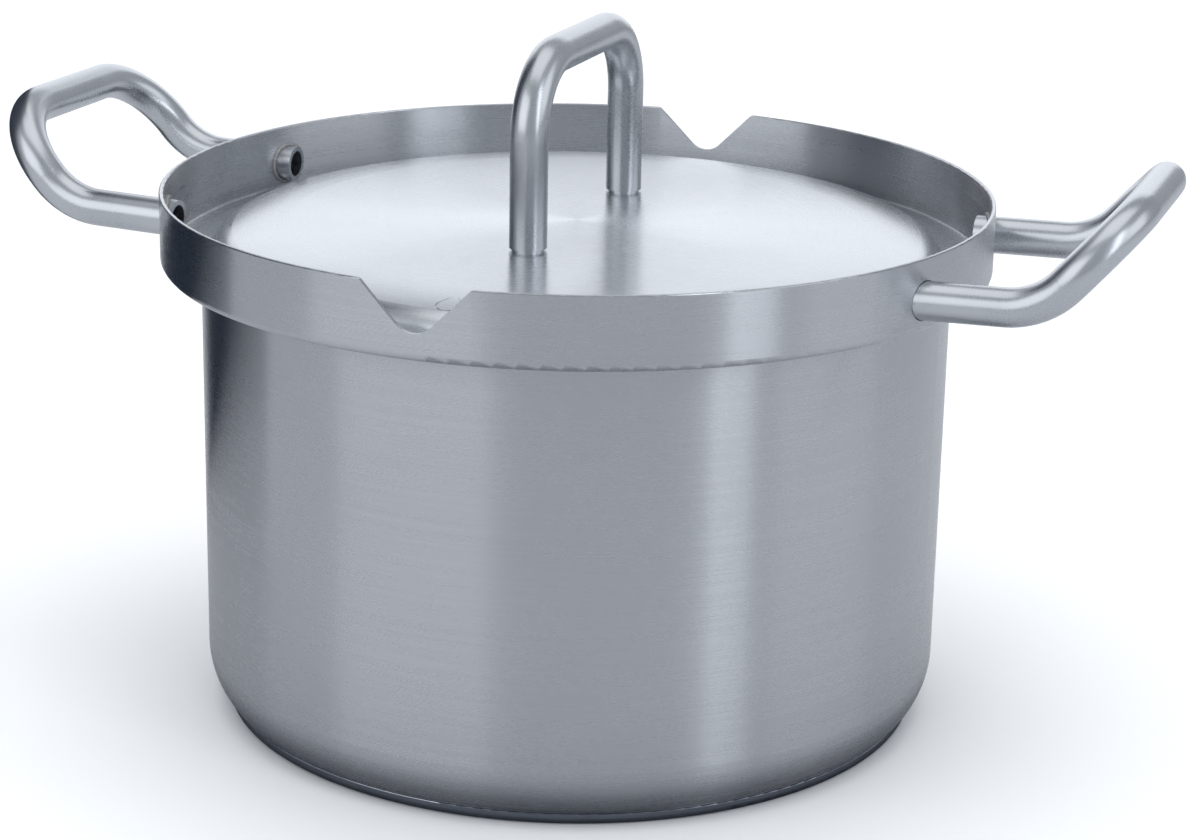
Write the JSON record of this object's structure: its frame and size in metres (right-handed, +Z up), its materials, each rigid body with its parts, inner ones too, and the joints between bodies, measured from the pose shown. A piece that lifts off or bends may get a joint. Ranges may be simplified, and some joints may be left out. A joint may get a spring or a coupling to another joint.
{
  "type": "lidded stovetop cooking pot",
  "caption": "Stainless-steel stovetop pot with a stepped rim, pouring notches in the rim, bent-tube side handles and a recessed lift-off lid with a tube handle.",
  "frame": {"origin": "middle of the underside of the base, on the pot's axis, where it stands on the stove", "axes": "+Z up along the pot's axis; +X towards the right side handle; +Y towards the back pouring notch, so the engraved drop on the lid faces -Y"},
  "size_m": [0.384, 0.27, 0.2263],
  "materials": {
    "body_steel": "brushed round the pot, satin",
    "lid_steel": "fine circular brushing, semi-bright",
    "tube_steel": "satin, ground along the tube",
    "weld_steel": "dressed weld",
    "fastener_steel": "plain turned",
    "core_aluminium": "rolled, closed in"
  },
  "bodies": {
    "pot": {"pot_shell": "body_steel", "base_cap": "body_steel", "base_core": "core_aluminium", "side_handle_left": "tube_steel", "side_handle_right": "tube_steel", "handle_weld_left_front": "weld_steel", "handle_weld_left_back": "weld_steel", "handle_weld_right_front": "weld_steel", "handle_weld_right_back": "weld_steel"},
    "lid": {"lid_plate": "lid_steel", "lid_handle": "tube_steel", "lid_foot_front": "tube_steel", "lid_foot_back": "tube_steel", "lid_washer_front": "fastener_steel", "lid_washer_back": "fastener_steel", "lid_screw_front": "fastener_steel", "lid_screw_back": "fastener_steel"}
  },
  "joints": [
    {"name": "lid_lift", "type": "slide", "parent": "pot", "child": "lid", "axis": [0, 0, 1], "range_m": [0, 0.1]}
  ]
}
